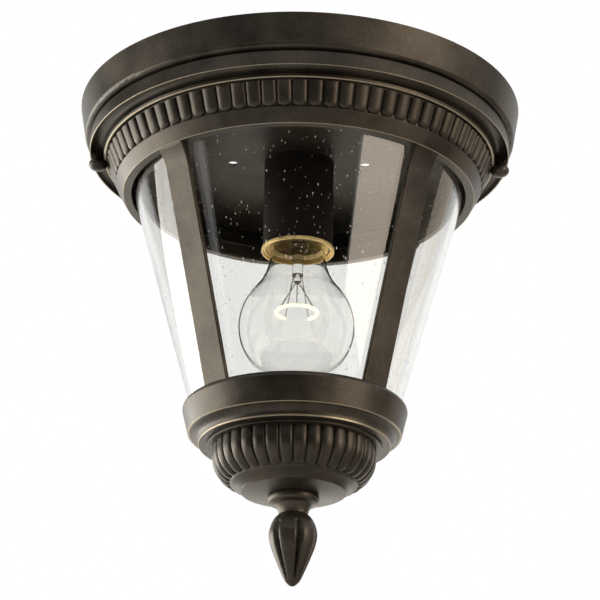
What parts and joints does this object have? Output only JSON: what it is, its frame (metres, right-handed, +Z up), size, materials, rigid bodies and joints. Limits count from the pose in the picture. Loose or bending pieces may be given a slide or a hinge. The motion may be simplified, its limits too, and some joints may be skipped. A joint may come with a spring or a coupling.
{
  "type": "porch ceiling lantern",
  "caption": "Close-to-ceiling porch lantern: a round ceiling pan, a ribbed bronze cage round a tapered seeded-glass shade, a fluted cup and bud finial below, and a clear bulb inside.",
  "frame": {"origin": "centre of the ceiling pan's rim, in the plane of the ceiling", "axes": "+Z up into the ceiling; the thumb screws lie along X; the front window faces -Y"},
  "size_m": [0.232, 0.232, 0.257],
  "materials": {
    "bronze_paint": "satin",
    "seeded_glass": "clear, seeded",
    "bulb_glass": "clear",
    "foam": "matte",
    "cushion_rubber": "matte",
    "zinc_steel": "plated",
    "black_phenolic": "semi-gloss",
    "brass": "bright",
    "base_metal": "plated",
    "tip_solder": "dull",
    "dark_insulator": "gloss",
    "wire": "bright"
  },
  "bodies": {
    "housing": {"ceiling_pan": "bronze_paint", "pan_seal": "foam", "thumb_screw_nuts": "zinc_steel", "socket_sleeve": "black_phenolic", "socket_rim": "brass", "socket_screw_shell": "brass", "socket_body": "black_phenolic", "socket_contact": "brass", "socket_cap": "zinc_steel", "socket_nipple": "zinc_steel", "nipple_washer": "zinc_steel", "nipple_locknut": "zinc_steel", "nipple_bushing": "black_phenolic"},
    "cage": {"cage_frame": "bronze_paint", "glass_shade": "seeded_glass", "glass_cushion": "cushion_rubber", "glass_clips": "zinc_steel", "glass_clip_screws": "zinc_steel", "fluted_cup": "bronze_paint", "cup_crossbar": "zinc_steel", "finial": "bronze_paint", "finial_stud": "zinc_steel", "stud_washer": "zinc_steel", "stud_nut": "zinc_steel"},
    "left_sleeve": {"left_thumb_sleeve": "bronze_paint"},
    "left_screw": {"left_thumb_screw": "bronze_paint"},
    "right_sleeve": {"right_thumb_sleeve": "bronze_paint"},
    "right_screw": {"right_thumb_screw": "bronze_paint"},
    "bulb_travel": {"bulb_tip_contact": "tip_solder"},
    "bulb": {"bulb_glass": "bulb_glass", "bulb_base_shell": "base_metal", "bulb_insulator": "dark_insulator", "bulb_stem": "bulb_glass", "bulb_filament": "wire", "bulb_lead_wires": "wire", "bulb_supports": "wire"}
  },
  "joints": [
    {"name": "cage_drop", "type": "slide", "parent": "housing", "child": "cage", "axis": [0, 0, -1], "range_m": [0, 0.16]},
    {"name": "left_screw_travel", "type": "slide", "parent": "cage", "child": "left_sleeve", "axis": [0, 0, -1], "range_m": [0, 0.00794]},
    {"name": "left_screw_turn", "type": "hinge", "parent": "left_sleeve", "child": "left_screw", "pos_m": [-0.106, 0, -0.0294], "axis": [0, 0, -1], "range_deg": [0, 3600]},
    {"name": "right_screw_travel", "type": "slide", "parent": "cage", "child": "right_sleeve", "axis": [0, 0, -1], "range_m": [0, 0.00794]},
    {"name": "right_screw_turn", "type": "hinge", "parent": "right_sleeve", "child": "right_screw", "pos_m": [0.106, 0, -0.0294], "axis": [0, 0, -1], "range_deg": [0, 3600]},
    {"name": "bulb_unscrew_travel", "type": "slide", "parent": "housing", "child": "bulb_travel", "axis": [0, 0, -1], "range_m": [0, 0.02177]},
    {"name": "bulb_turn", "type": "hinge", "parent": "bulb_travel", "child": "bulb", "pos_m": [0, 0, -0.12], "axis": [0, 0, -1], "range_deg": [0, 2160]}
  ],
  "couplings": [
    {"joint": "left_screw_turn", "follows": "left_screw_travel", "rad_per_m": 7915.8},
    {"joint": "right_screw_turn", "follows": "right_screw_travel", "rad_per_m": 7915.8},
    {"joint": "bulb_turn", "follows": "bulb_unscrew_travel", "rad_per_m": 1731.6}
  ]
}
